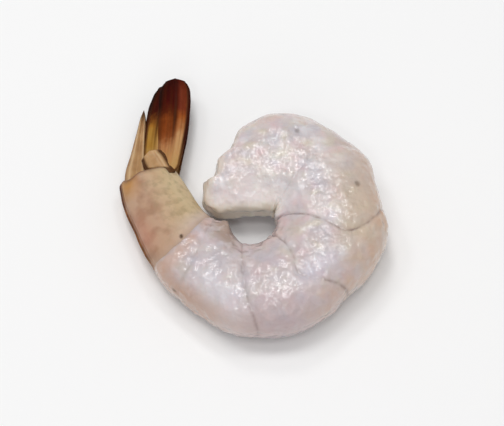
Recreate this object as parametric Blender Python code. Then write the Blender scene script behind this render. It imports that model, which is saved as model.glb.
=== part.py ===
"""A raw peeled shrimp with the last shell ring and the tail fan left on, lying curled on its side.

Metres, +Z up. The ground is z = 0, and the origin is under the middle of the whole outline. Seen
from above, the body runs clockwise from its cut front end round the bend to the tail. The tables
and constants below are in millimetres and degrees, and rolled_grid() turns them into metres.

The word share means a part of the whole: a height share is -1 at the belly and 1 at the back.
"""
import math

import bmesh
import bpy
import numpy as np

METRES = 0.001

# Sections of the body from the cut front end to the tail joint. One row is one section:
# centre x, centre y, direction of the body, height from belly to back,
# thickness from side to side, and height of the centre above the ground.
SECTIONS = np.array([
    (-11.2, 5.2, -3.0, 16.4, 12.6, 6.2),
    (-6.8, 5.8, -3.0, 18.2, 13.8, 6.8),
    (-1.6, 7.2, -3.0, 20.2, 14.8, 7.2),
    (3.0, 8.9, -6.0, 22.0, 15.4, 7.4),
    (7.4, 8.6, -15.0, 22.6, 15.8, 7.5),
    (12.8, 5.3, -42.0, 22.0, 16.0, 7.6),
    (15.2, 2.4, -57.0, 23.6, 16.0, 7.6),
    (15.9, -0.9, -70.0, 22.4, 16.0, 7.6),
    (17.2, -6.6, -94.0, 23.0, 16.2, 7.7),
    (15.0, -11.9, -113.0, 22.2, 16.0, 7.6),
    (11.6, -15.8, -131.0, 21.2, 15.6, 7.4),
    (6.8, -19.5, -152.0, 20.8, 15.2, 7.2),
    (1.4, -20.8, -167.0, 20.4, 14.6, 6.9),
    (-3.8, -19.8, -180.0, 20.0, 14.0, 6.6),
    (-8.2, -16.4, -193.0, 18.8, 13.0, 6.2),
    (-12.4, -12.6, -207.0, 18.2, 12.0, 6.0),
    (-15.4, -8.1, -222.0, 16.2, 10.8, 5.7),
    (-18.5, -2.5, -235.0, 15.0, 9.9, 5.4),
    (-20.7, 2.0, -246.0, 14.4, 9.2, 5.1),
    (-22.5, 6.8, -252.0, 12.8, 8.4, 4.8),
])

# A section is a squared oval, fuller at the back than at the belly.
SECTION_SQUARENESS = 2.35
BACK_FULLNESS = 0.10

# The belly is a narrower strip between the two side muscles, with a furrow along it.
BELLY_STRIP = 0.62
BELLY_STRIP_EDGE = 0.2
BELLY_NARROWING = 0.16
FURROW_DEPTH = 0.5
FURROW_WIDTH = 0.16

# A soft lump where the last legs were trimmed fills the inside of the bend.
LUMP_AT = 70.0
LUMP_LENGTH = 6.0
LUMP_REACH = 3.4
LUMP_TOP = -0.1

# Creases between the muscle segments: distance from the front end, depth, how far the crease arches
# towards the tail along the side, how far its notch dips on, and the notch's height share.
CREASES = [
    (24.6, 0.55, 0.0, 3.6, 1.0),
    (36.5, 0.95, 5.5, 2.5, 0.37),
    (49.0, 0.90, 2.6, 2.0, 0.2),
    (62.6, 0.80, 1.4, 0.0, 0.0),
    (76.2, 0.60, -0.6, 0.0, 0.0),
]
CREASE_SHARE = 0.65
CREASE_WIDTH = 0.9
SWELL_WIDTH = 3.6
NOTCH_WIDTH = 0.35

# The cut front end leans back in steps between three muscle bundles: height from belly (0) to back
# (1), and length of each step. Its lower corner, the chin, is rounded off.
FRONT_ROUNDING = 2.8
FRONT_LEAN = 2.4
FRONT_STEPS = [(0.36, 1.8), (0.68, 4.0)]
FRONT_STEP_WIDTH = 0.06
CHIN_LENGTH = 2.4
CHIN_HEIGHT = 0.22
FRONT_REACH = 26.0

# The shell ring of the last segment is a thimble over the tapered end of the meat. Its front edge
# slants towards the back of the animal and bows forward in the middle of the side.
SHELL_FRONT = 82.0
SHELL_FRONT_SLANT = 1.8
SHELL_FRONT_BOW = -2.4
SHELL_WALL = 0.6
SHELL_ROUNDING = 1.6
SHELL_INNER_ROUNDING = 0.8
CLEARANCE = 0.42
TAPER_LENGTH = 1.1
TAPER_LEAD = 1.5
MEAT_END = 2.2
MEAT_END_ROUNDING = 2.0

# Tail fan. Each blade is a thin leaf: base x, y, z, tip x, y, z, full width, thickness at the base,
# share of that thickness left at the tip, roll, and how far its middle bows to the right.
# Heights are from the middle of the fan, and the roll lifts the edge nearer the belly.
FAN_HEIGHT = 4.5
TELSON = (-25.4, 6.7, 0.0, -24.1, 24.2, 0.0, 4.2, 3.0, 0.25, 0.0, 0.0)
PROTOPOD = (-20.4, 7.8, 2.3, -20.6, 13.8, 2.4, 4.8, 1.4, 0.7, 8.0, 0.0)
EXOPOD = (-17.2, 9.6, 2.3, -17.1, 30.7, 2.6, 6.8, 0.8, 0.6, 10.0, 0.3)
ENDOPOD = (-21.0, 12.5, 0.9, -19.0, 30.2, 0.9, 5.6, 0.7, 0.6, 10.0, -0.4)
TIP_ROUNDING = 0.06
EDGE_BLUNTNESS = 0.8

# Outline of a leaf: distance from base (0) to tip (1), and share of its full width.
BLADE_OUTLINE = [(0.0, 0.22), (0.12, 0.48), (0.35, 0.84), (0.6, 1.0), (0.8, 0.92), (0.93, 0.60), (1.0, 0.0)]
PROTOPOD_OUTLINE = [(0.0, 0.50), (0.2, 1.0), (0.5, 0.80), (0.8, 0.45), (1.0, 0.0)]
TELSON_OUTLINE = [(0.0, 0.70), (0.1, 1.0), (0.4, 0.72), (0.7, 0.42), (0.9, 0.22), (1.0, 0.0)]

# How finely each skin is divided.
MEAT_SIDES = 28
MEAT_FRONT_RINGS = 9
MEAT_BODY_RINGS = 84
MEAT_LIP_RINGS = 9
MEAT_END_RINGS = 6
SHELL_SIDES = 24
SHELL_WALL_RINGS = 14
SHELL_CAP_RINGS = 6
LEAF_SIDES = 10
LEAF_RINGS = 16

# Finishes: linear colour and roughness.
FLESH = ("flesh", (0.62, 0.55, 0.53), 0.25)
SHELL = ("shell", (0.44, 0.29, 0.18), 0.30)
BLADE = ("blade", (0.22, 0.08, 0.025), 0.30)


def eased(t):
    """Smooth step from 0 to 1."""
    t = np.clip(t, 0.0, 1.0)
    return t * t * (3.0 - 2.0 * t)


def smooth_curve(knots, values, at):
    """Reads a smooth curve through the values at the knots."""
    slopes = np.gradient(values, knots)
    i = np.clip(np.searchsorted(knots, at) - 1, 0, len(knots) - 2)
    span = knots[i + 1] - knots[i]
    rise = values[i + 1] - values[i]
    t = (at - knots[i]) / span
    early = (1.0 - t) * (slopes[i] * span - rise)
    late = t * (slopes[i + 1] * span - rise)
    return values[i] + rise * t + t * (1.0 - t) * (early - late)


STEPS = np.hypot(*np.diff(SECTIONS[:, :2], axis=0).T)
DISTANCES = np.concatenate([[0.0], np.cumsum(STEPS)])
BODY_LENGTH = DISTANCES[-1]


def ring_shape(around):
    """Outline of a section: height share, and share of half the thickness towards the upper side."""
    c = np.cos(around)
    n = np.sin(around)
    r = (np.abs(c) ** SECTION_SQUARENESS + np.abs(n) ** SECTION_SQUARENESS) ** (-1.0 / SECTION_SQUARENESS)
    height = r * c
    narrowing = BELLY_NARROWING * eased((-height - BELLY_STRIP) / BELLY_STRIP_EDGE + 0.5)
    return height, r * n * (1.0 + BACK_FULLNESS * height) * (1.0 - narrowing)


def crease_relief(s, height):
    """How far the surface rises, here below zero, at the creases between segments."""
    relief = np.zeros_like(s)
    for at, depth, arch, notch, notch_at in CREASES:
        line = at + arch * (1.0 - height ** 2) + notch * np.exp(-((height - notch_at) / NOTCH_WIDTH) ** 2)
        crease = CREASE_SHARE * np.exp(-((s - line) / CREASE_WIDTH) ** 2)
        swell = (1.0 - CREASE_SHARE) * np.exp(-((s - line) / SWELL_WIDTH) ** 2)
        relief -= depth * (crease + swell)
    return relief


def front_lean(height):
    """How far the cut face lies behind the foremost tip at a height share."""
    share = (height + 1.0) / 2.0
    lean = FRONT_LEAN * share + CHIN_LENGTH * np.clip(1.0 - share / CHIN_HEIGHT, 0.0, 1.0) ** 2
    for at, step in FRONT_STEPS:
        lean += step * eased((share - at) / FRONT_STEP_WIDTH)
    return lean


def shell_edge(height):
    """Distance of the shell's front edge at a height share."""
    slant = SHELL_FRONT_SLANT * (1.0 + height) / 2.0
    return SHELL_FRONT + slant + SHELL_FRONT_BOW * (1.0 - height ** 2)


def body_points(s, girth, around, rise):
    """Points of the body's skin, or of a skin that rises over it or, below zero, lies under it."""
    height, side = ring_shape(around)
    reach = np.clip(1.0 - s / FRONT_REACH, 0.0, 1.0) ** 1.5
    s = s + front_lean(girth * height) * reach
    x, y, direction, tall, thick, lift = (smooth_curve(DISTANCES, column, s) for column in SECTIONS.T)
    lump = LUMP_REACH * np.exp(-((s - LUMP_AT) / LUMP_LENGTH) ** 2) * eased(LUMP_TOP - height)
    out = girth * height * (tall / 2.0 + rise) - lump
    up = girth * side * (thick / 2.0 + rise)
    turn = np.radians(direction)
    return np.stack([x - np.sin(turn) * out, y + np.cos(turn) * out, np.maximum(lift + up, 0.0)], axis=-1)


def rolled_grid(name, finish, rings, sides, points_of):
    """Rolls a grid into a closed skin whose two ends close into poles, and paints it.

    Each row of rings is one ring of the skin, and points_of(ring, around) places its corners.
    """
    bm = bmesh.new()
    bmesh.ops.create_grid(bm, x_segments=len(rings) - 1, y_segments=sides, size=0.5)
    corners = np.array([v.co for v in bm.verts])
    ring = np.rint((corners[:, 0] + 0.5) * (len(rings) - 1)).astype(int)
    around = np.rint((corners[:, 1] + 0.5) * sides) % sides * (2.0 * math.pi / sides)
    for vert, place in zip(bm.verts, points_of(rings[ring], around) * METRES):
        vert.co = place
    bmesh.ops.remove_doubles(bm, verts=bm.verts, dist=1e-7)
    bmesh.ops.recalc_face_normals(bm, faces=bm.faces)
    if bm.calc_volume(signed=True) < 0.0:
        bmesh.ops.reverse_faces(bm, faces=bm.faces)
    bmesh.ops.triangulate(bm, faces=bm.faces)
    mesh = bpy.data.meshes.new(name)
    bm.to_mesh(mesh)
    bm.free()
    mesh.shade_smooth()
    mesh.materials.append(material_for(*finish))
    bpy.context.scene.collection.objects.link(bpy.data.objects.new(name, mesh))


def material_for(name, colour, roughness):
    """The material of a finish, made once."""
    material = bpy.data.materials.get(name) or bpy.data.materials.new(name)
    material.use_nodes = True
    shader = material.node_tree.nodes["Principled BSDF"]
    shader.inputs["Base Color"].default_value = (*colour, 1.0)
    shader.inputs["Roughness"].default_value = roughness
    shader.inputs["Metallic"].default_value = 0.0
    return material


def cap_rings(count, rounding):
    """Rings of a rounded end from its pole outwards: depth under the pole, and girth."""
    girth = np.linspace(0.0, 1.0, count, endpoint=False)
    return np.stack([rounding * (1.0 - np.sqrt(1.0 - girth ** 2)), girth], axis=-1)


def make_meat():
    """One muscle: blunt stepped front end, creased segments, and a taper into the shell ring."""
    end = BODY_LENGTH - MEAT_END
    lip = SHELL_FRONT - TAPER_LEAD
    along = np.concatenate([
        np.linspace(FRONT_ROUNDING, lip - 1.0, MEAT_BODY_RINGS),
        np.linspace(lip - 0.5, lip + 3.0, MEAT_LIP_RINGS),
        np.linspace(lip + 4.0, end - MEAT_END_ROUNDING, MEAT_END_RINGS),
    ])
    rings = [(depth, girth) for depth, girth in cap_rings(MEAT_FRONT_RINGS, FRONT_ROUNDING)]
    rings += [(distance, 1.0) for distance in along]
    rings += [(end - depth, girth) for depth, girth in cap_rings(MEAT_END_RINGS, MEAT_END_ROUNDING)[::-1]]

    def points_of(ring, around):
        s, girth = ring.T
        height, side = ring_shape(around)
        under = eased((s - shell_edge(height) + TAPER_LEAD) / TAPER_LENGTH)
        furrow = FURROW_DEPTH * np.exp(-(side / FURROW_WIDTH) ** 2) * (height < 0.0)
        relief = (1.0 - under) * (crease_relief(s, height) - furrow)
        return body_points(s, girth, around, relief - under * (SHELL_WALL + CLEARANCE))

    rolled_grid("meat", FLESH, np.array(rings), MEAT_SIDES, points_of)


def make_shell():
    """A thin ring of shell, closed behind and open in front, where it slips over the meat."""
    outer_end = BODY_LENGTH - SHELL_ROUNDING
    inner_end = outer_end - SHELL_WALL
    inner_pole = inner_end + SHELL_INNER_ROUNDING
    outer_cap = cap_rings(SHELL_CAP_RINGS, SHELL_ROUNDING)
    inner_cap = cap_rings(SHELL_CAP_RINGS, SHELL_INNER_ROUNDING)[::-1]
    forward = np.linspace(0.0, 1.0, SHELL_WALL_RINGS)
    rings = [(BODY_LENGTH - depth, girth, 0.0, 0.0) for depth, girth in outer_cap]
    rings += [(outer_end, 1.0, 0.0, share) for share in forward]
    rings += [(inner_end, 1.0, -SHELL_WALL, share) for share in forward[::-1]]
    rings += [(inner_pole - depth, girth, -SHELL_WALL, 0.0) for depth, girth in inner_cap]

    def points_of(ring, around):
        end, girth, rise, share = ring.T
        height, side = ring_shape(around)
        return body_points(end + share * (shell_edge(height) - end), girth, around, rise)

    rolled_grid("tail_shell", SHELL, np.array(rings), SHELL_SIDES, points_of)


def make_leaf(name, finish, leaf, outline, mirrored=False):
    """A thin closed leaf from base to tip, mirrored in the middle plane of the fan if it is a far one."""
    x0, y0, z0, x1, y1, z1, width, thickness, tip_share, roll, bow = leaf
    length = math.hypot(x1 - x0, y1 - y0)
    right_x = (y1 - y0) / length
    right_y = (x0 - x1) / length
    knots, widths = np.array(outline).T
    tilt = math.radians(roll)

    def points_of(ring, around):
        t, girth = ring.T
        tip = np.clip((1.0 - t) / TIP_ROUNDING, 0.0, 1.0) ** 0.5
        half_width = girth * smooth_curve(knots, widths, t) * width / 2.0
        half_thickness = girth * tip * (1.0 + (tip_share - 1.0) * t) * thickness / 2.0
        across = np.sign(np.cos(around)) * np.abs(np.cos(around)) ** EDGE_BLUNTNESS * half_width
        over = np.sin(around) * half_thickness
        aside = across * math.cos(tilt) - over * math.sin(tilt) + bow * 4.0 * t * (1.0 - t)
        lift = z0 + (z1 - z0) * t + across * math.sin(tilt) + over * math.cos(tilt)
        x = x0 + (x1 - x0) * t + right_x * aside
        y = y0 + (y1 - y0) * t + right_y * aside
        return np.stack([x, y, FAN_HEIGHT - lift if mirrored else FAN_HEIGHT + lift], axis=-1)

    share = 0.5 - 0.5 * np.cos(np.linspace(0.0, math.pi, LEAF_RINGS))
    rings = np.stack([share, share > 0.0], axis=-1)
    rolled_grid(name, finish, rings, LEAF_SIDES, points_of)


for old in list(bpy.data.objects):
    bpy.data.objects.remove(old, do_unlink=True)

make_meat()
make_shell()
make_leaf("telson", SHELL, TELSON, TELSON_OUTLINE)
for side_name, far in (("near", False), ("far", True)):
    make_leaf(f"protopod_{side_name}", SHELL, PROTOPOD, PROTOPOD_OUTLINE, far)
    make_leaf(f"endopod_{side_name}", BLADE, ENDOPOD, BLADE_OUTLINE, far)
    make_leaf(f"exopod_{side_name}", BLADE, EXOPOD, BLADE_OUTLINE, far)
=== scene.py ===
"""A raw peeled shrimp, tail on, curled on its side on a plain pale ground.

Lengths are written in millimetres, as they are measured on the shrimp, and become metres where a
mesh is made. Seen from above, the body runs clockwise from its cut front end to the tail.
"""
import math
from collections import namedtuple

import bmesh
import bpy
import numpy as np
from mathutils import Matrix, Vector, noise


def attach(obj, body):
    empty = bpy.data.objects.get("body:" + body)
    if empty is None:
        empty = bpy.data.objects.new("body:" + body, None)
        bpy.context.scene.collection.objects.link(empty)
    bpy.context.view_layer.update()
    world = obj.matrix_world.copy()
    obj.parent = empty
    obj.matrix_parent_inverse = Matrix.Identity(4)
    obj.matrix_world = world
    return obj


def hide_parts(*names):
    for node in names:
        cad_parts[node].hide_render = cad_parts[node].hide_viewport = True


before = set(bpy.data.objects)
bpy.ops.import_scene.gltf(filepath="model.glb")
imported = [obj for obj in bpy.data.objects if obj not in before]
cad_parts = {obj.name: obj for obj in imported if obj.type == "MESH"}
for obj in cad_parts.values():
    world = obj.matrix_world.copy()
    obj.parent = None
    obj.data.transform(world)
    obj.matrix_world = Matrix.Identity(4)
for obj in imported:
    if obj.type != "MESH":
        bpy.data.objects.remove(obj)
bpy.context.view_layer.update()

# The ground is a sweep of white paper, as food is photographed on. The shrimp is seen from the
# front, from well above, through a long lens.
MM = 0.001
AIM = Vector((0.17, -3.14, 7.6)) * MM
CAMERA_DISTANCE = 320 * MM
CAMERA_ELEVATION = math.radians(62)
PICTURE_WIDTH = 105.84 * MM
SENSOR_WIDTH = 36.0
NEAREST_SEEN = 10 * MM
GROUND_HALF = 3000 * MM


def linear(hex_colour):
    """An sRGB hex colour as a linear colour with alpha."""
    parts = [int(hex_colour[i:i + 2], 16) / 255 for i in (1, 3, 5)]
    return tuple(c / 12.92 if c <= 0.04045 else ((c + 0.055) / 1.055) ** 2.4
                 for c in parts) + (1.0,)


def add_node(material, kind, links=None, **settings):
    """Adds a shader node. Links name its inputs, each with a value or the output that feeds it."""
    made = material.node_tree.nodes.new("ShaderNode" + kind)
    for name, value in settings.items():
        setattr(made, name, value)
    for name, value in (links or {}).items():
        if isinstance(value, bpy.types.NodeSocket):
            material.node_tree.links.new(value, made.inputs[name])
        else:
            made.inputs[name].default_value = value
    return made


camera_data = bpy.data.cameras.new("camera")
camera_data.sensor_width = SENSOR_WIDTH
camera_data.lens = SENSOR_WIDTH * CAMERA_DISTANCE / PICTURE_WIDTH
camera_data.clip_start = NEAREST_SEEN
camera = bpy.data.objects.new("camera", camera_data)
towards_camera = Vector((0, -math.cos(CAMERA_ELEVATION), math.sin(CAMERA_ELEVATION)))
camera.location = AIM + CAMERA_DISTANCE * towards_camera
camera.rotation_euler = (-towards_camera).to_track_quat("-Z", "Y").to_euler()
bpy.context.scene.collection.objects.link(camera)
bpy.context.scene.camera = camera

bm = bmesh.new()
bmesh.ops.create_grid(bm, x_segments=1, y_segments=1, size=GROUND_HALF)
ground_mesh = bpy.data.meshes.new("ground")
bm.to_mesh(ground_mesh)
bm.free()
ground = bpy.data.objects.new("ground", ground_mesh)
bpy.context.scene.collection.objects.link(ground)


def new_material(name):
    """An empty node material."""
    material = bpy.data.materials.new(name)
    material.use_nodes = True
    material.node_tree.nodes.clear()
    return material


# Matt white paper: an even, nearly white ground that takes a soft shadow and gives no gloss.
paper = new_material("white_paper")
paper_shader = add_node(paper, "BsdfPrincipled", {
    "Base Color": linear("#f3f3f3"), "Roughness": 0.9, "Specular IOR Level": 0.1})
add_node(paper, "OutputMaterial", {"Surface": paper_shader.outputs["BSDF"]})
ground_mesh.materials.append(paper)

# Studio light: soft boxes above, behind, beside and low in front, which draw the wet glints along
# the flank, a wide soft fill from the front, and an even pale surround.
LAMPS = [
    # name, place in metres, side lengths, watts
    ("key", (-0.12, 0.12, 0.83), (0.26, 0.21), 1.7),
    ("back", (-0.12, 0.42, 0.74), (0.18, 0.13), 0.7),
    ("front", (0.02, -0.20, 0.84), (0.21, 0.18), 0.85),
    ("low_front", (-0.15, -0.46, 0.70), (0.12, 0.09), 0.45),
    ("left", (-0.38, 0.12, 0.74), (0.18, 0.13), 0.5),
    ("right", (0.24, 0.18, 0.80), (0.18, 0.13), 0.6),
    ("fill", (0.10, -0.85, 0.45), (0.7, 0.4), 0.8),
]
SURROUND_COLOUR = "#f7f7f7"
SURROUND_STRENGTH = 0.42
for lamp_name, place, sides, watts in LAMPS:
    lamp_data = bpy.data.lights.new(lamp_name, "AREA")
    lamp_data.shape = "RECTANGLE"
    lamp_data.size, lamp_data.size_y = sides
    lamp_data.energy = watts
    lamp = bpy.data.objects.new(lamp_name, lamp_data)
    lamp.location = place
    lamp.rotation_euler = (-Vector(place)).to_track_quat("-Z", "Y").to_euler()
    bpy.context.scene.collection.objects.link(lamp)
world = bpy.data.worlds.new("studio")
world.use_nodes = True
surround = world.node_tree.nodes["Background"]
surround.inputs["Color"].default_value = linear(SURROUND_COLOUR)
surround.inputs["Strength"].default_value = SURROUND_STRENGTH
bpy.context.scene.world = world
bpy.context.scene.view_settings.view_transform = "Standard"

# The meat is the tail muscle of the shrimp, raw and wet. Its shell, legs and head were pulled off,
# which leaves a blunt front end of torn muscle bundles, thin creases where the shell rings gripped
# it, and stubs of skin along the belly. It runs on into the last shell ring.

# Sections from the cut front end to the tail joint: centre x, centre y, direction of the body,
# height from belly to back, thickness from side to side, height of the centre above the ground.
SECTIONS = np.array([
    (-11.2, 5.2, -3.0, 16.4, 12.6, 6.2),
    (-6.8, 5.8, -3.0, 18.2, 13.8, 6.8),
    (-1.6, 7.0, -3.0, 20.6, 14.8, 7.2),
    (2.9, 8.3, -6.0, 23.2, 15.4, 7.4),
    (7.2, 8.0, -15.0, 23.8, 15.8, 7.5),
    (12.5, 5.0, -42.0, 22.8, 16.0, 7.6),
    (14.9, 2.2, -57.0, 24.4, 16.0, 7.6),
    (15.5, -1.0, -70.0, 23.2, 16.0, 7.6),
    (16.9, -6.6, -94.0, 23.6, 16.2, 7.7),
    (15.0, -11.9, -113.0, 22.2, 16.0, 7.6),
    (11.6, -15.8, -131.0, 21.2, 15.6, 7.4),
    (6.8, -19.5, -152.0, 20.8, 15.2, 7.2),
    (1.4, -20.8, -167.0, 20.4, 14.6, 6.9),
    (-3.8, -19.8, -180.0, 20.0, 14.0, 6.6),
    (-8.2, -16.4, -193.0, 18.8, 13.0, 6.2),
    (-12.4, -12.6, -207.0, 18.2, 12.0, 6.0),
    (-15.4, -8.1, -222.0, 16.2, 10.8, 5.7),
    (-18.3, -2.4, -235.0, 14.6, 9.9, 5.4),
    (-20.4, 2.1, -246.0, 13.8, 9.2, 5.1),
    (-22.2, 6.9, -252.0, 12.2, 8.4, 4.8),
])
STEPS = np.hypot(*np.diff(SECTIONS[:, :2], axis=0).T)
DISTANCES = np.concatenate([[0.0], np.cumsum(STEPS)])
BODY_LENGTH = DISTANCES[-1]

# A section is a squared oval, fuller at the back, with a narrower belly strip and a furrow in it.
# Heights and sides in it are shares: -1 at the belly, 1 at the back, and 1 on the upper side.
SECTION_SQUARENESS = 2.35
BACK_FULLNESS = 0.10
BELLY_STRIP = 0.62
BELLY_STRIP_EDGE = 0.45
BELLY_NARROWING = 0.16
FURROW_DEPTH = 0.5
FURROW_WIDTH = 0.16
# The lump on the belly where the last legs were trimmed.
LUMP_AT = 69.0
LUMP_LENGTH = 6.0
LUMP_REACH = 3.4
LUMP_TOP = -0.1
# The painted shade on the lump fades in over this height share below its top.
LUMP_SHADE_EDGE = 0.7

# Creases: distance from the front end, depth, arch towards the tail, notch and its height share,
# and how plainly the thin line in it shows, in the depth of its slit and in its painted shade.
Crease = namedtuple("Crease", "at depth arch notch notch_at plainness")
CREASES = [
    Crease(24.0, 0.34, 0.0, 3.6, 1.0, 0.12),
    Crease(34.9, 0.44, 5.0, 1.9, 0.37, 1.0),
    Crease(48.0, 0.42, 2.6, 2.0, 0.2, 0.75),
    Crease(61.6, 0.40, 1.4, 0.0, 0.0, 0.6),
    Crease(75.2, 0.30, -0.6, 0.0, 0.0, 0.25),
]
# Part of the depth is in a narrow dip, and the rest in a wide soft one around it.
CREASE_SHARE = 0.5
CREASE_WIDTH = 0.8
SWELL_WIDTH = 3.6
NOTCH_WIDTH = 0.35
CREASE_SLIT = 0.14
CREASE_SLIT_WIDTH = 0.30
# Width of the painted shade along each crease.
CREASE_SHADE_WIDTH = 0.24

FRONT_ROUNDING = 2.8
FRONT_LEAN = 2.9
# Steps up the cut face: height share, how far it falls back, and how long the step is.
FRONT_STEPS = [(0.36, 1.8, 0.07), (0.64, 2.6, 0.05)]
STEP_WANDER = 0.06
STEP_WAVES = 2.6
STEP_START = 0.8
STEP_TWIST = 3.0
CHIN_LENGTH = 2.4
CHIN_HEIGHT = 0.22
# The lean of the cut face dies out over this length of the body, faster at first.
FRONT_REACH = 26.0
FRONT_FADE = 1.5
CUT_STAIN_FROM = 1.2
CUT_STAIN_LENGTH = 3.0

# Under the shell's front edge the meat is drawn in, and its skin is held tight.
SHELL_FRONT = 77.7
SHELL_FRONT_SLANT = 2.3
SHELL_FRONT_BOW = -0.8
TAPER_LENGTH = 2.4
TAPER_LEAD = -0.1
TUCK = 0.48
TIGHT_LEAD = 2.0
TIGHT_LENGTH = 1.4
GRIP_LENGTH = 4.5
MEAT_END = 2.7
MEAT_END_ROUNDING = 2.0

# Specks: distance from the front end, angle round the body from the back, and darkness.
SPECKS = [(18.8, 66.0, 0.5), (32.8, 58.0, 0.7), (79.4, 87.0, 1.0), (75.9, 14.0, 0.8)]
SPECK_RADIUS = 0.42
SPECK_BLUR = 1.6
BODY_RADIUS = 9.0

MEAT_SIDES = 176
MEAT_FRONT_RINGS = 26
MEAT_BODY_RINGS = 340
MEAT_LIP_RINGS = 20
MEAT_END_RINGS = 8
# The rings lie closer at the lip, where the meat is drawn in: the last ring before it, its own
# first and last ring, and the next one, from the lip in mm.
LIP_STOPS = (-1.4, -1.2, 4.4, 5.2)
MERGE_DISTANCE = 1e-4


def eased(t):
    """Smooth step from 0 to 1."""
    t = np.clip(t, 0.0, 1.0)
    return t * t * (3.0 - 2.0 * t)


def hump(away, width):
    """1 on the middle of a soft hump, falling to 0 a few widths away."""
    return np.exp(-(away / width) ** 2)


def smooth_curve(knots, values, at):
    """Reads a smooth curve through the values at the knots."""
    slopes = np.gradient(values, knots)
    i = np.clip(np.searchsorted(knots, at) - 1, 0, len(knots) - 2)
    span = knots[i + 1] - knots[i]
    rise = values[i + 1] - values[i]
    t = (at - knots[i]) / span
    early = (1.0 - t) * (slopes[i] * span - rise)
    late = t * (slopes[i + 1] * span - rise)
    return values[i] + rise * t + t * (1.0 - t) * (early - late)


def ring_shape(around):
    """Outline of a section: height share, and share of half the thickness to the upper side."""
    c = np.cos(around)
    n = np.sin(around)
    r = (np.abs(c) ** SECTION_SQUARENESS + np.abs(n) ** SECTION_SQUARENESS) ** (
        -1.0 / SECTION_SQUARENESS)
    height = r * c
    narrowing = BELLY_NARROWING * eased((-height - BELLY_STRIP) / BELLY_STRIP_EDGE + 0.5)
    return height, r * n * (1.0 + BACK_FULLNESS * height) * (1.0 - narrowing)


def crease_line(crease, height):
    """Distance of a crease from the front end at a height share."""
    notch = crease.notch * hump(height - crease.notch_at, NOTCH_WIDTH)
    return crease.at + crease.arch * (1.0 - height ** 2) + notch


def crease_relief(s, height):
    """How far the surface rises, here below zero, at the creases between segments."""
    relief = np.zeros_like(s)
    for crease in CREASES:
        away = s - crease_line(crease, height)
        dip = CREASE_SHARE * hump(away, CREASE_WIDTH)
        swell = (1.0 - CREASE_SHARE) * hump(away, SWELL_WIDTH)
        relief -= crease.depth * (dip + swell)
    return relief


def nearness_to_crease(s, height, width):
    """How plainly the line of a crease shows, falling to 0 a few widths away from it."""
    near = np.zeros_like(s)
    for crease in CREASES:
        away = s - crease_line(crease, height)
        near = np.maximum(near, crease.plainness * hump(away, width))
    return near


def front_lean(height, side):
    """How far the cut face lies behind the foremost tip; its steps wander from side to side."""
    share = (height + 1.0) / 2.0
    lean = FRONT_LEAN * share + CHIN_LENGTH * np.clip(1.0 - share / CHIN_HEIGHT, 0.0, 1.0) ** 2
    for at, step, length in FRONT_STEPS:
        wander = STEP_WANDER * np.sin(STEP_WAVES * side + STEP_START + STEP_TWIST * at)
        lean += step * eased((share - at - wander) / length)
    return lean


def behind_tip(s, height, side):
    """Distance from the foremost tip, with the lean of the cut face added where it reaches."""
    return s + front_lean(height, side) * np.clip(1.0 - s / FRONT_REACH, 0.0, 1.0) ** FRONT_FADE


def shell_edge(height):
    """Distance of the shell's front edge at a height share."""
    slant = SHELL_FRONT_SLANT * (1.0 + height) / 2.0
    return SHELL_FRONT + slant + SHELL_FRONT_BOW * (1.0 - height ** 2)


def body_points(s, girth, around, rise):
    """Points of the body's skin, or of a skin that rises over it or, below zero, lies under it."""
    height, side = ring_shape(around)
    s = behind_tip(s, girth * height, girth * side)
    x, y, direction, tall, thick, lift = (smooth_curve(DISTANCES, column, s)
                                          for column in SECTIONS.T)
    lump = LUMP_REACH * hump(s - LUMP_AT, LUMP_LENGTH) * eased(LUMP_TOP - height)
    out = girth * height * (tall / 2.0 + rise) - lump
    up = girth * side * (thick / 2.0 + rise)
    turn = np.radians(direction)
    return np.stack([x - np.sin(turn) * out, y + np.cos(turn) * out,
                     np.maximum(lift + up, 0.0)], axis=-1)


def cap_rings(count, rounding):
    """Rings of a rounded end from its pole outwards: depth under the pole, and girth."""
    girth = np.linspace(0.0, 1.0, count, endpoint=False)
    return np.stack([rounding * (1.0 - np.sqrt(1.0 - girth ** 2)), girth], axis=-1)


def rolled_skin(name, rings, sides, points_of, marks_of, relief_of=None):
    """Rolls a grid into a closed skin whose ends close into poles, with marks for its material.

    points_of(ring, around) places the corners in mm, marks_of(ring, around) gives the marks, and
    relief_of(point, marks) pushes each corner out along the surface normal, in mm.
    """
    bm = bmesh.new()
    bmesh.ops.create_grid(bm, x_segments=len(rings) - 1, y_segments=sides, size=0.5)
    corners = np.array([v.co for v in bm.verts])
    ring = rings[np.rint((corners[:, 0] + 0.5) * (len(rings) - 1)).astype(int)]
    around = np.rint((corners[:, 1] + 0.5) * sides) % sides * (2.0 * math.pi / sides)
    marks = marks_of(ring, around)
    layers = {mark: bm.verts.layers.float.new(mark) for mark in marks}
    for vert, place in zip(bm.verts, points_of(ring, around)):
        vert.co = place
    for mark, layer in layers.items():
        for vert, value in zip(bm.verts, marks[mark]):
            vert[layer] = value
    bmesh.ops.remove_doubles(bm, verts=bm.verts, dist=MERGE_DISTANCE)
    bmesh.ops.recalc_face_normals(bm, faces=bm.faces)
    if bm.calc_volume(signed=True) < 0.0:
        bmesh.ops.reverse_faces(bm, faces=bm.faces)
    bm.normal_update()
    if relief_of:
        for vert in bm.verts:
            push = relief_of(vert.co, {mark: vert[layer] for mark, layer in layers.items()})
            vert.co += vert.normal * push
            vert.co.z = max(vert.co.z, 0.0)
    bmesh.ops.scale(bm, vec=(MM, MM, MM), verts=bm.verts)
    mesh = bpy.data.meshes.new(name)
    bm.to_mesh(mesh)
    bm.free()
    mesh.shade_smooth()
    piece = bpy.data.objects.new(name, mesh)
    bpy.context.scene.collection.objects.link(piece)
    return piece


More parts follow.
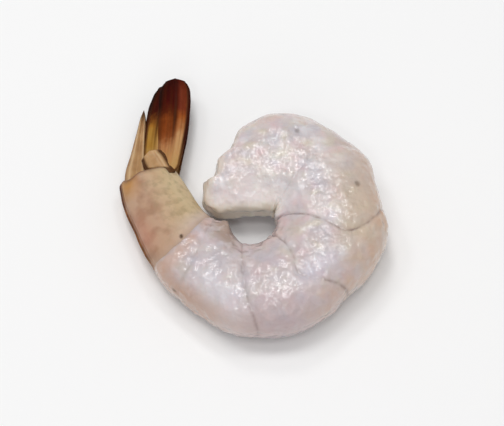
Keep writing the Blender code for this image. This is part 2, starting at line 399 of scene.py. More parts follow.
def meat_points(ring, around):
    """Places the meat's skin, drawn in where it runs under the shell ring."""
    s, girth = ring.T
    height, side = ring_shape(around)
    under = eased((s - shell_edge(height) + TAPER_LEAD) / TAPER_LENGTH)
    furrow = FURROW_DEPTH * hump(side, FURROW_WIDTH) * (height < 0.0)
    slit = CREASE_SLIT * nearness_to_crease(s, height, CREASE_SLIT_WIDTH)
    relief = (1.0 - under) * (crease_relief(s, height) - furrow - slit)
    return body_points(s, girth, around, relief - under * TUCK)


def specks(s, around):
    """Marks the few dark specks of pigment on the upper side."""
    near = np.zeros_like(s)
    for at, angle, darkness in SPECKS:
        away = np.hypot(s - at, (around - math.radians(angle)) * BODY_RADIUS)
        near = np.maximum(near, darkness * eased(SPECK_BLUR - away / SPECK_RADIUS))
    return near


def meat_marks(ring, around):
    """Marks on the meat: distance, height and side shares, stains, painted shade, and skin held by
    the shell.
    """
    s, girth = ring.T
    height, side = ring_shape(around)
    lump = hump(s - LUMP_AT, LUMP_LENGTH)
    return {
        "along": behind_tip(s, girth * height, girth * side),
        "height": girth * height,
        "side": girth * side,
        "crease": nearness_to_crease(s, height, CREASE_SHADE_WIDTH),
        "speck": specks(s, around),
        "cut": 1.0 - eased((s - CUT_STAIN_FROM) / CUT_STAIN_LENGTH),
        "lump": lump * eased((LUMP_TOP - height) / LUMP_SHADE_EDGE),
        "tight": eased((s - shell_edge(height) + TIGHT_LEAD) / TIGHT_LENGTH),
        "gripped": eased((s - shell_edge(height)) / GRIP_LENGTH + 1.0),
    }


# Relief of the raw surface: lumps of muscle, dimples, beads of fibre ends that crowd in patches
# and around the bend, and fray on the cut face. Each is a grain and a height in mm, and where its
# pattern starts. The patches of beads have a gain in place of the height.
LUMPS = (6.0, 0.22, (0.0, 0.0, 0.0))
DIMPLES = (2.4, 0.17, (7.0, 3.0, 5.0))
BEADS = (1.2, 0.20, (1.0, 8.0, 2.0))
FRAY = (2.2, 0.30, (4.0, 4.0, 1.0))
BEAD_PATCHES = (7.0, 1.6, (2.0, 9.0, 4.0))
BEADS_LEAST = 0.15
BEADS_USUAL = 0.4
BEADED_AT = 60.0
BEADED_LENGTH = 16.0
BEADED_GAIN = 0.5
# Muscle fibres run along the body. Shares are turned to mm by half a usual section.
FIBRE_WIDTH = 0.75
FIBRE_LENGTH = 6.0
FIBRE_HEIGHT = 0.03
HALF_HEIGHT = 10.0
HALF_THICKNESS = 7.0
# Ridges of gum run across the belly strip, below a height share.
GUM_RIDGE_LENGTH = 2.3
GUM_RIDGE_HEIGHT = 0.30
GUM_RIDGES_ACROSS = 2.0
GUM_TOP = -0.7
GUM_DEPTH = 0.3


def bumps(point, relief):
    """Height of one of the reliefs at a point, in mm."""
    grain, height, start = relief
    return height * noise.noise(point / grain + Vector(start))


def meat_relief(point, marks):
    """Push of one corner along its normal, in mm."""
    along, height, side = marks["along"], marks["height"], marks["side"]
    beads = (bumps(point, BEAD_PATCHES) + BEADS_USUAL
             + BEADED_GAIN * hump(along - BEADED_AT, BEADED_LENGTH))
    fibre = Vector((along / FIBRE_LENGTH, height * HALF_HEIGHT / FIBRE_WIDTH,
                    side * HALF_THICKNESS / FIBRE_WIDTH))
    push = bumps(point, LUMPS) + bumps(point, DIMPLES)
    push += max(BEADS_LEAST, min(1.0, beads)) * bumps(point, BEADS)
    push += FIBRE_HEIGHT * noise.noise(fibre)
    push += marks["cut"] * bumps(point, FRAY)
    if height < GUM_TOP:
        ridge = Vector((along / GUM_RIDGE_LENGTH, side * GUM_RIDGES_ACROSS, 0.0))
        push += GUM_RIDGE_HEIGHT * (GUM_TOP - height) / GUM_DEPTH * noise.noise(ridge)
    return push * (1.0 - marks["tight"])


end = BODY_LENGTH - MEAT_END
before_lip, lip_start, lip_stop, after_lip = SHELL_FRONT - TAPER_LEAD + np.array(LIP_STOPS)
along = np.concatenate([
    np.linspace(FRONT_ROUNDING, before_lip, MEAT_BODY_RINGS),
    np.linspace(lip_start, lip_stop, MEAT_LIP_RINGS),
    np.linspace(after_lip, end - MEAT_END_ROUNDING, MEAT_END_RINGS),
])
rings = [(depth, girth) for depth, girth in cap_rings(MEAT_FRONT_RINGS, FRONT_ROUNDING)]
rings += [(distance, 1.0) for distance in along]
end_cap = cap_rings(MEAT_END_RINGS, MEAT_END_ROUNDING)[::-1]
rings += [(end - depth, girth) for depth, girth in end_cap]
flesh = rolled_skin("flesh", np.array(rings), MEAT_SIDES, meat_points, meat_marks, meat_relief)

# Raw muscle is milky and lets light in for several millimetres, under a film of water that gives
# the white glints. Its grey-white goes mauve at the belly and pinkish beige along the back.

# A Mix node of colours has its two colours, and the mixed one, on these sockets.
UNDER, OVER, MIXED = 6, 7, 2


def mark_share(material, mark, low, high):
    """A mark on the mesh as a share that goes from 0 at low to 1 at high."""
    fac = add_node(material, "Attribute", attribute_name=mark).outputs["Fac"]
    return add_node(material, "MapRange", {"Value": fac, "From Min": low,
                                           "From Max": high}).outputs["Result"]


def patches(material, grain_mm, low, high, start=0.0, detail=2.0):
    """Soft patches of a given grain, as a share that goes from 0 at low noise to 1 at high."""
    place = add_node(material, "TexCoord").outputs["Object"]
    moved = add_node(material, "VectorMath", {0: place, 1: (start, start, start)})
    cloud = add_node(material, "TexNoise", {"Vector": moved.outputs["Vector"],
                                            "Scale": 1.0 / (grain_mm * MM), "Detail": detail})
    return add_node(material, "MapRange", {"Value": cloud.outputs["Fac"], "From Min": low,
                                           "From Max": high}).outputs["Result"]


def tinted(material, colour, *tints):
    """Lays tints over a colour: hex colour, strength, and shares that all weaken the strength.

    A share is a mark with its two limits, "patches" with their values, or a socket.
    """
    for hex_colour, strength, *shares in tints:
        for share in shares:
            if isinstance(share, tuple):
                kind, *values = share
                share = (patches(material, *values) if kind == "patches"
                         else mark_share(material, kind, *values))
            strength = add_node(material, "Math", {0: share, 1: strength},
                                operation="MULTIPLY", use_clamp=True).outputs["Value"]
        colour = add_node(material, "Mix", {"Factor": strength, UNDER: colour,
                                            OVER: linear(hex_colour)},
                          data_type="RGBA").outputs[MIXED]
    return colour


def unevenness(material, grain_mm, depth_mm, strength, detail=2.0, roughness=0.5, **links):
    """Fine unevenness of a given grain that only the light shows, over a Normal if one is given."""
    place = add_node(material, "TexCoord").outputs["Object"]
    cloud = add_node(material, "TexNoise", {"Vector": place, "Scale": 1.0 / (grain_mm * MM),
                                            "Detail": detail, "Roughness": roughness})
    return add_node(material, "Bump", {"Height": cloud.outputs["Fac"], "Strength": strength,
                                       "Distance": depth_mm * MM, **links}).outputs["Normal"]


raw_muscle = new_material("raw_wet_muscle")
milky_grey = add_node(raw_muscle, "Mix", {
    "Factor": patches(raw_muscle, 5.5, 0.38, 0.62),
    UNDER: linear("#d6ccca"), OVER: linear("#c6bcbd")}, data_type="RGBA").outputs[MIXED]
colour = tinted(
    raw_muscle, milky_grey,
    # Mottles all over: pinkish beige, straw, pink, blue-grey, and milky white where they crowd.
    ("#cdb9b2", 0.5, ("patches", 10.0, 0.44, 0.62, 3.0)),
    ("#cdc7a9", 0.35, ("patches", 3.4, 0.50, 0.66, 13.0, 1.0)),
    ("#d9b6bd", 0.35, ("patches", 3.8, 0.50, 0.66, 15.0, 1.0)),
    ("#babac6", 0.45, ("patches", 4.2, 0.46, 0.68, 5.0, 1.0)),
    ("#e6e2e3", 0.5, ("patches", 2.8, 0.46, 0.70, 7.0, 1.0), ("patches", 7.0, 0.42, 0.60, 9.0)),
    # The hind half is greyer. Around the bend the back is straw, then the flank is painted a pale
    # milky blue, a painted sheen where the glints gather.
    ("#bcb1b5", 0.4, ("along", 40.0, 55.0)),
    ("#c4b096", 0.65, ("height", 0.0, 0.3), ("along", 24.0, 34.0), ("along", 47.0, 41.0)),
    ("#d4d0de", 0.5, ("height", 0.0, 0.3), ("height", 0.75, 0.4), ("along", 45.0, 49.0),
     ("along", 55.0, 51.0)),
    # Blotches of tan and beige along the back.
    ("#c9b0a6", 0.6, ("height", 0.5, 1.0), ("patches", 4.6, 0.30, 0.56, 17.0)),
    ("#c9a588", 0.7, ("height", 0.5, 1.0), ("along", 24.0, 34.0), ("along", 58.0, 44.0),
     ("patches", 4.0, 0.30, 0.58, 19.0)),
    # Before the shell ring: mauve, then a pale milky blue painted as the sheen where the glints
    # gather, then a tan back and warm blotches.
    ("#b8a4ab", 0.45, ("height", 0.3, 0.9), ("along", 52.0, 57.0), ("along", 66.0, 61.0)),
    ("#e0dee6", 0.4, ("height", 0.1, 0.4), ("along", 62.0, 66.0), ("along", 75.0, 70.0)),
    ("#b8937a", 0.7, ("height", 0.70, 0.95), ("along", 60.0, 70.0)),
    ("#c49f8a", 0.6, ("gripped", 0.1, 0.9), ("patches", 2.6, 0.30, 0.58, 23.0)),
    # The belly in front is painted a pale cream, painted light over its shaded side; behind, it is
    # mauve, and the cut face is cream.
    ("#f2e9e6", 0.7, ("height", -0.3, -0.85), ("along", 38.0, 26.0)),
    ("#c9aeac", 0.5, ("height", -0.45, -1.0), ("along", 30.0, 38.0)),
    ("#e2d5c4", 0.6, ("cut", 0.1, 1.0)),
    # Painted shade: brown over the trimmed lump in the bend, and a thin dark line along each
    # crease.
    # Stains: the gummy belly strip in front and the specks.
    ("#a0897a", 0.85, ("lump", 0.20, 0.75), ("patches", 2.2, 0.30, 0.54, 21.0)),
    ("#cbbf93", 0.4, ("height", -0.86, -0.97), ("along", 34.0, 24.0)),
    ("#8a7068", 0.8, ("crease", 0.0, 1.0), ("patches", 2.6, 0.36, 0.60, 11.0)),
    ("#5f4c38", 0.85, ("speck", 0.0, 1.0)),
)
# The water film lies smooth over the wrinkles, and the muscle under it is grainier.
film = unevenness(raw_muscle, 1.7, 0.6, 0.75, detail=1.0, roughness=0.35)
muscle_shader = add_node(raw_muscle, "BsdfPrincipled", {
    "Base Color": colour,
    "Roughness": 0.36,
    "IOR": 1.38,
    "Normal": unevenness(raw_muscle, 0.6, 0.3, 0.3, Normal=film),
    "Subsurface Weight": 0.6,
    "Subsurface Radius": (1.0, 0.78, 0.72),
    "Subsurface Scale": 2.4 * MM,
    "Coat Weight": 1.0,
    "Coat Roughness": 0.13,
    "Coat IOR": 1.38,
    "Coat Normal": film,
})
add_node(raw_muscle, "OutputMaterial", {"Surface": muscle_shader.outputs["BSDF"]})
flesh.data.materials.append(raw_muscle)
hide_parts("meat")
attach(flesh, "root")

# The ring of shell on the last segment was left on to hold the fan. It is a thin horny tube with a
# blunt keel along the back and a groove on each side of it, and it grips the end of the meat.
SHELL_SKIN = 0.35
SHELL_INNER_END = 3.2
SHELL_INNER_ROUNDING = 0.8
SHELL_SIDES = 200
SHELL_WALL_RINGS = 120
SHELL_CAP_RINGS = 16
SHELL_REAR_RINGS = 40
# The rear end from the middle of its hollow, where the fan is hinged, out over the rim: girth, and
# depth below the end of the body.
SHELL_REAR = [(0.0, 1.8), (0.45, 1.8), (0.70, 1.75), (0.78, 1.4), (0.81, 0.8), (0.835, 0.3),
              (0.87, 0.1), (0.915, 0.15), (0.955, 0.4), (0.985, 0.85), (1.0, 1.5)]
# The rear margin is cut back beside the keel, which runs out in a short blunt spine.
REAR_CUT = 1.1
REAR_CUT_AT = 0.70
REAR_CUT_WIDTH = 0.26
SPINE_REACH = 0.8
SPINE_WIDTH = 0.10
# Keel and grooves rise over the back, from a height share up, and fade before the front edge.
BACK_FROM = 0.2
BACK_EDGE = 0.5
KEEL_HEIGHT = 0.35
KEEL_WIDTH = 0.07
GROOVE_AT = 0.34
GROOVE_WIDTH = 0.06
GROOVE_DEPTH = 0.16
KEEL_FADE = 3.0
EDGE_DIP = 0.10
EDGE_THINNING = 0.22
EDGE_WIDTH = 1.0
SHELL_WRINKLES = (3.5, 0.12, (0.0, 0.0, 0.0))
# Dark band along the keel and fainter lines in the grooves and on the rear rim, and painted shade
# in the hollow of the rear.
BAND_WIDTH = 0.24
BAND_FADE = 2.6
GROOVE_DARKNESS = 0.35
HOLLOW_SHADE_GIRTH = 0.86
HOLLOW_SHADE_EDGE = 0.05
RIM_GIRTH = 0.93
RIM_WIDTH = 0.06


def shell_distance(ring, height):
    """Distance from the front end: a share of the way from the rear margin to the front edge.

    The rear margin of the outer wall is cut back beside the keel and drawn out at its spine.
    """
    end, girth, _, share, outer = ring.T
    cut = REAR_CUT * hump(height - REAR_CUT_AT, REAR_CUT_WIDTH)
    spine = SPINE_REACH * hump(1.0 - height, SPINE_WIDTH)
    margin = end + outer * girth ** 3 * (spine - cut)
    return margin + share * (shell_edge(height) - margin)


def shell_points(ring, around):
    """Places the shell's two walls: keel and grooves on the outer one, and a thin front edge."""
    _, girth, rise, _, outer = ring.T
    height, side = ring_shape(around)
    s = shell_distance(ring, height)
    from_edge = s - shell_edge(height)
    back = eased((height - BACK_FROM) / BACK_EDGE) * eased((from_edge - EDGE_WIDTH) / KEEL_FADE)
    keel = KEEL_HEIGHT * hump(side, KEEL_WIDTH) * back
    groove = GROOVE_DEPTH * hump(np.abs(side) - GROOVE_AT, GROOVE_WIDTH) * back
    near_edge = hump(from_edge, EDGE_WIDTH)
    shape = np.where(outer > 0.5, keel - groove - EDGE_DIP * near_edge, EDGE_THINNING * near_edge)
    return body_points(s, girth, around, rise + shape)


def shell_marks(ring, around):
    """Marks on the shell: distance, height share, dark lines, front edge, rear rim, painted shade
    in the hollow.
    """
    girth, outer = ring.T[1], ring.T[4]
    height, side = ring_shape(around)
    s = shell_distance(ring, height)
    from_edge = s - shell_edge(height)
    back = eased((height - BACK_FROM) / BACK_EDGE)
    band = hump(side, BAND_WIDTH) * back
    groove = hump(np.abs(side) - GROOVE_AT, GROOVE_WIDTH) * back
    return {
        "along": s,
        "height": girth * height,
        "line": np.maximum(band, GROOVE_DARKNESS * groove) * eased(from_edge / BAND_FADE),
        "edge": from_edge,
        "outer": outer,
        "hollow": outer * eased((HOLLOW_SHADE_GIRTH - girth) / HOLLOW_SHADE_EDGE),
        "rim": outer * hump(girth - RIM_GIRTH, RIM_WIDTH),
        "speck": outer * specks(s, around),
    }


def shell_relief(point, marks):
    """Push of one corner of the shell along its normal, in mm."""
    return marks["outer"] * bumps(point, SHELL_WRINKLES)


# A ring is the end it starts from, girth, rise, share of the way forward, and 1 on the outer wall.
rear_girths, rear_depths = np.array(SHELL_REAR).T
turns = np.linspace(0.0, len(SHELL_REAR) - 1.0, SHELL_REAR_RINGS)
stops = np.arange(len(SHELL_REAR))
rear = zip(smooth_curve(stops, rear_girths, turns), smooth_curve(stops, rear_depths, turns))
rings = [(BODY_LENGTH - depth, max(girth, 0.0), 0.0, 0.0, 1.0) for girth, depth in rear]
forward = np.linspace(0.0, 1.0, SHELL_WALL_RINGS)
outer_end = BODY_LENGTH - SHELL_REAR[-1][1]
inner_end = BODY_LENGTH - SHELL_INNER_END
inner_pole = inner_end + SHELL_INNER_ROUNDING
rings += [(outer_end, 1.0, 0.0, share, 1.0) for share in forward[1:]]
rings += [(inner_end, 1.0, -SHELL_SKIN, share, 0.0) for share in forward[::-1]]
inner_cap = cap_rings(SHELL_CAP_RINGS, SHELL_INNER_ROUNDING)[::-1]
rings += [(inner_pole - depth, girth, -SHELL_SKIN, 0.0, 0.0) for depth, girth in inner_cap]
shell = rolled_skin("shell_ring", np.array(rings), SHELL_SIDES, shell_points, shell_marks,
                    shell_relief)

# Shrimp shell is chitin, clear tan and horny. It shows the flesh behind it softly, is darker where
# it is thick along the keel and grooves, and has only a faint wet gloss.
horn = new_material("wet_tan_chitin")
clear_tan = add_node(horn, "Mix", {
    "Factor": patches(horn, 3.2, 0.40, 0.60),
    UNDER: linear("#cba88e"), OVER: linear("#b58f76")}, data_type="RGBA").outputs[MIXED]
colour = tinted(
    horn, clear_tan,
    # Straw towards the belly with green-grey mottles, and a pink flush under the back.
    ("#e6d0a6", 0.75, ("height", 0.35, -0.55)),
    ("#998d6a", 0.42, ("patches", 1.3, 0.46, 0.68, 2.0, 3.0), ("height", 0.6, 0.0)),
    ("#cf907c", 0.5, ("height", 0.50, 0.80), ("edge", 12.0, 7.0), ("edge", 2.0, 5.0)),
    # The thin front edge shows the pale flesh, and the rear corner of the back is orange.
    ("#dcc6bc", 0.85, ("edge", 6.0, 1.5), ("height", 0.35, -0.4)),
    ("#ccac98", 0.7, ("edge", 2.2, 0.8)),
    ("#ca9656", 0.8, ("along", BODY_LENGTH - 6.0, BODY_LENGTH - 2.5), ("height", 0.30, 0.70)),
    # Painted shade in the hollow of the rear end.
    ("#9c7c60", 0.7, ("hollow", 0.0, 1.0)),
    ("#5a3418", 0.8, ("rim", 0.0, 1.0)),
    # The band along the keel: golden brown with dark mottles, olive in front, darkest at the rear.
    ("#8f5a2c", 1.0, ("line", 0.05, 0.70)),
    ("#5a3018", 0.9, ("line", 0.15, 0.80), ("patches", 1.5, 0.30, 0.56, 6.0, 3.0)),
    ("#8c6a34", 0.6, ("line", 0.30, 0.8), ("edge", 7.0, 3.0),
     ("patches", 1.4, 0.46, 0.64, 4.0, 1.0)),
    ("#4e2208", 0.8, ("line", 0.10, 0.6), ("along", BODY_LENGTH - 6.5, BODY_LENGTH - 3.5)),
    ("#4a3420", 0.9, ("speck", 0.0, 1.0)),
)
horn_shader = add_node(horn, "BsdfPrincipled", {
    "Base Color": colour,
    "Roughness": 0.45,
    "IOR": 1.45,
    "Specular IOR Level": 0.10,
    "Normal": unevenness(horn, 0.8, 0.3, 0.15),
    "Subsurface Weight": 0.35,
    "Subsurface Radius": (1.0, 0.65, 0.40),
    "Subsurface Scale": 1.6 * MM,
    "Coat Weight": 0.14,
    "Coat Roughness": 0.2,
    "Coat IOR": 1.34,
})
add_node(horn, "OutputMaterial", {"Surface": horn_shader.outputs["BSDF"]})
shell.data.materials.append(horn)
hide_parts("tail_shell")
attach(shell, "root")

# The telson is the spike in the middle of the tail fan: a tapering leaf of horny shell, grooved
# along its back, that grows from the hollow rear of the shell ring on soft skin. The other leaves
# of the fan, a stem with an inner and an outer blade on each side, lie folded against it.

# A leaf runs from its base to its tip, with heights from the middle of the fan. Its thickness
# shrinks to a share at the tip. It is rolled, in degrees, bowed aside and cupped, in mm. The
# outline is distance and width, both as shares. A rib is its side share, width share and height.
Leaf = namedtuple("Leaf", "base tip width thickness tip_share roll bow cup outline ribs")
TELSON = Leaf(
    base=(-24.8, 5.4, 0.0), tip=(-23.6, 24.2, 0.0),
    width=4.8, thickness=3.0, tip_share=0.25, roll=0.0, bow=0.0, cup=0.0,
    outline=[(0.0, 0.98), (0.1, 1.04), (0.4, 0.72), (0.7, 0.42), (0.9, 0.22), (1.0, 0.0)],
    ribs=[(0.0, 0.22, -0.45), (-0.55, 0.14, 0.22), (0.55, 0.14, 0.22)])
# The middle of the fan is this high, and the far pieces lie a little aside from the near ones.
FAN_HEIGHT = 4.5
FAR_SHIFT = -0.35
TIP_ROUNDING = 0.06
EDGE_BLUNTNESS = 0.8
CUP_LENGTH = 0.3
LEAF_SIDES = 112
LEAF_RINGS = 150
# Ribs, and fine striae that sway a little, fade out before the tip and towards the leaf's edge.
RIB_END = 0.97
RIB_FADE = 0.15
RIB_STEEPNESS = 2.5
FULL_RIB = 0.24
STRIA_HEIGHT = 0.012
STRIA_PITCH = 42.0
STRIA_SWAY = 1.5
STRIA_BENDS = 9.0


def across_leaf(around):
    """Share of half the width at an angle round a leaf, whose edges are blunt."""
    return np.sign(np.cos(around)) * np.abs(np.cos(around)) ** EDGE_BLUNTNESS


def make_leaf(name, leaf, far=False):
    """A ribbed leaf, mirrored in the middle plane of the fan if it is a far one."""
    shift = FAR_SHIFT if far else 0.0
    x0, y0, z0 = leaf.base
    x1, y1, z1 = leaf.tip
    x0, x1 = x0 + shift, x1 + shift
    length = math.hypot(x1 - x0, y1 - y0)
    right_x = (y1 - y0) / length
    right_y = (x0 - x1) / length
    knots, widths = np.array(leaf.outline).T
    tilt = math.radians(leaf.roll)

    def leaf_points(ring, around):
        t, girth = ring.T
        share = across_leaf(around)
        round_tip = np.clip((1.0 - t) / TIP_ROUNDING, 0.0, 1.0) ** 0.5
        thinning = 1.0 + (leaf.tip_share - 1.0) * t
        half_width = girth * smooth_curve(knots, widths, t) * leaf.width / 2.0
        half_thickness = girth * round_tip * thinning * leaf.thickness / 2.0
        steep = np.clip(np.abs(np.sin(around)) * RIB_STEEPNESS, 0.0, 1.0)
        ribs = sum(high * hump(share - at, wide) for at, wide, high in leaf.ribs)
        striae = np.sin(share * STRIA_PITCH + STRIA_SWAY * np.sin(t * STRIA_BENDS))
        relief = eased((RIB_END - t) / RIB_FADE) * steep * (ribs + STRIA_HEIGHT * striae)
        over = np.sin(around) * half_thickness + np.sign(np.sin(around)) * girth * relief
        across = share * half_width
        bow = leaf.bow * 4.0 * t * (1.0 - t)
        sag = leaf.cup * (girth * share) ** 2 * eased(t / CUP_LENGTH)
        aside = across * math.cos(tilt) - over * math.sin(tilt) + bow
        lift = z0 + (z1 - z0) * t + across * math.sin(tilt) + over * math.cos(tilt) - sag
        x = x0 + (x1 - x0) * t + right_x * aside
        y = y0 + (y1 - y0) * t + right_y * aside
        return np.stack([x, y, FAN_HEIGHT - lift if far else FAN_HEIGHT + lift], axis=-1)

    def leaf_marks(ring, around):
        t, girth = ring.T
        share = girth * across_leaf(around)
        crest = sum(max(high, 0.0) / FULL_RIB * hump(share - at, wide)
                    for at, wide, high in leaf.ribs)
        rib = np.clip(crest, 0.0, 1.0) * eased((RIB_END - t) / RIB_FADE)
        return {"tipward": t, "across": share, "rib": rib}

    share = 0.5 - 0.5 * np.cos(np.linspace(0.0, math.pi, LEAF_RINGS))
    rings = np.stack([share, share > 0.0], axis=-1)
    return rolled_skin(name, rings, LEAF_SIDES, leaf_points, leaf_marks)


def finish_fan_horn(material, colour, gloss):
    """Closes a fan material: clear horn, dulled by a thin film of slime."""
    shader = add_node(material, "BsdfPrincipled", {
        "Base Color": colour,
        "Roughness": 0.45,
        "IOR": 1.4,
        "Normal": unevenness(material, 0.7, 0.25, 0.2),
        "Subsurface Weight": 0.2,
        "Subsurface Radius": (1.0, 0.5, 0.25),
        "Subsurface Scale": 0.8 * MM,
        "Specular IOR Level": 0.05,
        "Coat Weight": gloss,
        "Coat Roughness": 0.2,
        "Coat IOR": 1.34,
    })
    add_node(material, "OutputMaterial", {"Surface": shader.outputs["BSDF"]})


# The telson's horn is the same clear tan chitin as the shell ring. It lets light in a little, has
# a soft wet gloss, is paler on its ribs, and holds dark pigment along its edges and at its tip.
EDGE_LINE_WIDTH = 0.18
EDGE_LINE_FADE = 0.25
TAN_GLOSS = 0.4


def tan_horn(name, lines_end, edge_lines):
    """Clear tan horn and its colour, with dark lines along its edges up to a distance.

    An edge line is its side, its darkness, and the side share where it begins.
    """
    material = new_material(name)
    colour = add_node(material, "Mix", {
        "Factor": patches(material, 3.0, 0.38, 0.62),
        UNDER: linear("#bb956a"), OVER: linear("#a57f58")}, data_type="RGBA").outputs[MIXED]
    colour = tinted(material, colour, ("#cfb28c", 0.6, ("rib", 0.1, 0.9)))
    for side, darkness, begin in edge_lines:
        colour = tinted(material, colour, (
            "#4a2a12", darkness, ("across", begin * side, (begin + EDGE_LINE_WIDTH) * side),
            ("tipward", lines_end, lines_end - EDGE_LINE_FADE)))
    return material, colour


telson_horn, colour = tan_horn("clear_tan_horn", 1.3, [(1.0, 0.85, 0.74), (-1.0, 0.4, 0.74)])
colour = tinted(telson_horn, colour, ("#351607", 0.9, ("tipward", 0.80, 0.93)))
finish_fan_horn(telson_horn, colour, TAN_GLOSS)

telson = make_leaf("telson_spike", TELSON)
telson.data.materials.append(telson_horn)
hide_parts("telson")
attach(telson, "root")

# A stem on each side of the telson is the short joint that carries the two blades. It is a stout,
# slightly cupped leaf of the same horn, and soft skin hinges it to the rear of the shell ring.
STEM = Leaf(
    base=(-18.4, 5.8, 2.5), tip=(-21.9, 12.1, 2.8),
    width=5.6, thickness=1.4, tip_share=0.7, roll=8.0, bow=0.0, cup=0.6,
    outline=[(0.0, 0.92), (0.2, 0.98), (0.5, 1.0), (0.8, 0.90), (0.93, 0.68), (1.0, 0.0)],
    ribs=[(0.45, 0.10, 0.18), (-0.3, 0.16, -0.12)])
# The near pieces of the fan lie on the upper side, and the far ones face the ground.
FAN_SIDES = [("near", False), ("far", True)]
# The hinge is a dark band across the base, and ends further out on one side than on the other.
HINGE_SLANT = 0.23
HINGE_FADES_OUT = 0.38
HINGE_FADES_FROM = 0.32

# The stem's horn is the telson's clear tan, with broader dark edges and a dark band at the hinge.
stem_horn, colour = tan_horn("hinge_tan_horn", 1.1, [(1.0, 0.95, 0.56), (-1.0, 0.95, 0.60)])
across = add_node(stem_horn, "Attribute", attribute_name="across").outputs["Fac"]
tipward = add_node(stem_horn, "Attribute", attribute_name="tipward").outputs["Fac"]
slanted = add_node(stem_horn, "Math", {0: across, 1: HINGE_SLANT, 2: tipward},
                   operation="MULTIPLY_ADD").outputs["Value"]
hinge = add_node(stem_horn, "MapRange", {"Value": slanted, "From Min": HINGE_FADES_OUT,
                                         "From Max": HINGE_FADES_FROM}).outputs["Result"]
colour = tinted(stem_horn, colour, ("#4f2f14", 0.9, hinge))
finish_fan_horn(stem_horn, colour, TAN_GLOSS)

for side_name, far in FAN_SIDES:
    stem = make_leaf(f"stem_{side_name}", STEM, far)
    stem.data.materials.append(stem_horn)
    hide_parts(f"protopod_{side_name}")
    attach(stem, "root")

# The blades are the broad leaves of the fan, an inner and an outer one on each side, hinged to the
# end of the stem. They are thin horn with two ribs along the middle and a thicker edge, and lie
# folded together, the outer one over the inner one.
INNER_BLADE = Leaf(
    base=(-20.7, 9.0, 1.3), tip=(-18.2, 30.2, 1.2),
    width=5.9, thickness=0.5, tip_share=0.6, roll=3.0, bow=-0.6, cup=0.45,
    outline=[(0.0, 0.34), (0.03, 0.62), (0.07, 0.80), (0.12, 0.86), (0.35, 0.97), (0.6, 1.0),
             (0.8, 0.98), (0.92, 0.78), (0.98, 0.46), (1.0, 0.0)],
    ribs=[(-0.30, 0.07, 0.14), (-0.12, 0.07, 0.14), (-0.9, 0.10, 0.10)])
OUTER_BLADE = Leaf(
    base=(-18.0, 7.0, 2.5), tip=(-16.8, 30.7, 2.8),
    width=7.0, thickness=0.55, tip_share=0.6, roll=7.0, bow=0.45, cup=0.7,
    outline=[(0.0, 0.30), (0.03, 0.56), (0.07, 0.70), (0.12, 0.73), (0.3, 0.83), (0.45, 0.93),
             (0.66, 1.0), (0.8, 1.0), (0.92, 0.87), (0.97, 0.66), (0.99, 0.48), (1.0, 0.0)],
    ribs=[(-0.02, 0.07, 0.16), (0.14, 0.07, 0.16), (0.9, 0.10, 0.12)])

# Horn full of pigment: golden at the base, red-brown along the middle and nearly black at the tip,
# where the pigment is densest. It hardly shines. The outer blade is paler beside its outer edge.
# The colours are given from the base to the tip, as the share of the way where each one stands.
INNER_COLOURS = [(0.0, "#ae8850"), (0.30, "#a57a35"), (0.46, "#9c6a28"), (0.57, "#6a3a14"),
                 (0.68, "#3c0f06"), (1.0, "#2a0402")]
OUTER_COLOURS = [(0.0, "#b08855"), (0.24, "#b07a4e"), (0.35, "#8b4c26"), (0.50, "#7a3a14"),
                 (0.60, "#54200a"), (0.72, "#430a05"), (1.0, "#2c0402")]
PALE_COLOURS = [(0.0, "#b08a55"), (0.32, "#bb8e60"), (0.46, "#ab7548"), (0.60, "#965020"),
                (0.74, "#74301a"), (1.0, "#4a1208")]
BLADE_GLOSS = 0.05
# The borders between the colours are ragged, by a share of the length, in blots of a size in mm.
RAGGEDNESS = 0.10
BLOT_SIZE = 3.2
# Streaks of pigment, half a millimetre wide and 20 mm long: how many fit in half the width of a
# blade, and in its length.
STREAKS = (6.0, 1.1, 1.0)
# Side shares where the dark edge of a blade begins and where it is full.
DARK_EDGE_FROM = 0.72
DARK_EDGE_FULL = 0.88


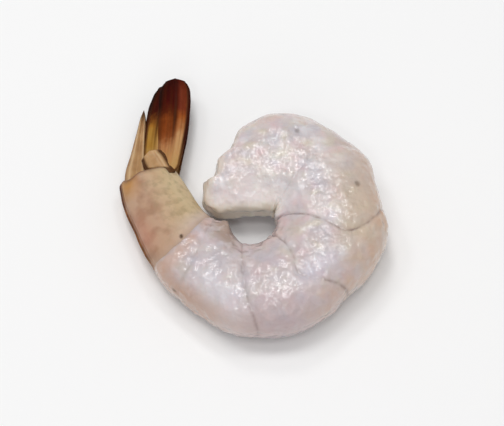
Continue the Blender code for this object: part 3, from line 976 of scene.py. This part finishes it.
def blade_horn(name, colours, pale_from, pale_to, stripe, edges):
    """Horn of a blade that goes pale between two side shares, and has a stripe and dark edges.

    The stripe is a side share, and an edge is its side and its darkness.
    """
    material = new_material(name)
    place = add_node(material, "TexCoord").outputs["Object"]
    blots = add_node(material, "TexNoise", {"Vector": place, "Scale": 1.0 / (BLOT_SIZE * MM),
                                            "Detail": 3.0}).outputs["Fac"]
    ragged = add_node(material, "MapRange", {
        "Value": blots, "From Min": 0.25, "From Max": 0.75,
        "To Min": -RAGGEDNESS, "To Max": RAGGEDNESS}).outputs["Result"]
    tipward = add_node(material, "Attribute", attribute_name="tipward").outputs["Fac"]
    shifted = add_node(material, "Math", {0: tipward, 1: ragged},
                       operation="ADD").outputs["Value"]
    pigments = []
    for stops in (colours, PALE_COLOURS):
        ramp = add_node(material, "ValToRGB", {"Fac": shifted})
        first, last = ramp.color_ramp.elements
        first.color, last.color = linear(stops[0][1]), linear(stops[-1][1])
        for at, hex_colour in stops[1:-1]:
            ramp.color_ramp.elements.new(at).color = linear(hex_colour)
        pigments.append(ramp.outputs["Color"])
    colour = add_node(material, "Mix", {
        "Factor": mark_share(material, "across", pale_from, pale_to),
        UNDER: pigments[0], OVER: pigments[1]}, data_type="RGBA").outputs[MIXED]
    across = add_node(material, "Attribute", attribute_name="across").outputs["Fac"]
    grid = add_node(material, "CombineXYZ", {"X": across, "Y": tipward}).outputs["Vector"]
    stretched = add_node(material, "Mapping", {"Vector": grid, "Scale": STREAKS})
    streaks = add_node(material, "TexNoise", {"Vector": stretched.outputs["Vector"],
                                              "Scale": 1.0, "Detail": 2.0}).outputs["Fac"]
    streaky = add_node(material, "MapRange", {"Value": streaks, "From Min": 0.46,
                                              "From Max": 0.62}).outputs["Result"]
    colour = tinted(
        material, colour,
        # The stripe along the ribs fades out before the base and the tip. Then come the streaks.
        ("#3b1c04", 0.75, ("across", stripe - 0.14, stripe),
         ("across", stripe + 0.20, stripe + 0.05), ("tipward", 0.15, 0.45),
         ("tipward", 0.80, 0.62)),
        ("#4a2208", 0.35, streaky, ("tipward", 0.1, 0.4)),
    )
    for side, darkness in edges:
        edge = mark_share(material, "across", DARK_EDGE_FROM * side, DARK_EDGE_FULL * side)
        colour = tinted(material, colour, ("#5c3a1a", darkness, edge),
                        ("#320c05", darkness, edge, ("tipward", 0.12, 0.36)))
    # The edge towards the telson is nearly black in its outer part.
    colour = tinted(material, colour,
                    ("#140302", 0.8, ("across", -0.66, -0.86), ("tipward", 0.60, 0.72)))
    finish_fan_horn(material, colour, BLADE_GLOSS)
    return material


inner_horn = blade_horn("golden_horn", INNER_COLOURS, pale_from=-0.1, pale_to=0.3,
                        stripe=-0.15, edges=[(1.0, 0.5), (-1.0, 0.85)])
outer_horn = blade_horn("red_brown_horn", OUTER_COLOURS, pale_from=0.15, pale_to=0.40,
                        stripe=0.06, edges=[(1.0, 0.95), (-1.0, 0.3)])

for side_name, far in FAN_SIDES:
    for part, node, leaf, finish in (("inner_blade", "endopod", INNER_BLADE, inner_horn),
                                     ("outer_blade", "exopod", OUTER_BLADE, outer_horn)):
        blade = make_leaf(f"{part}_{side_name}", leaf, far)
        blade.data.materials.append(finish)
        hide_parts(f"{node}_{side_name}")
        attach(blade, "root")
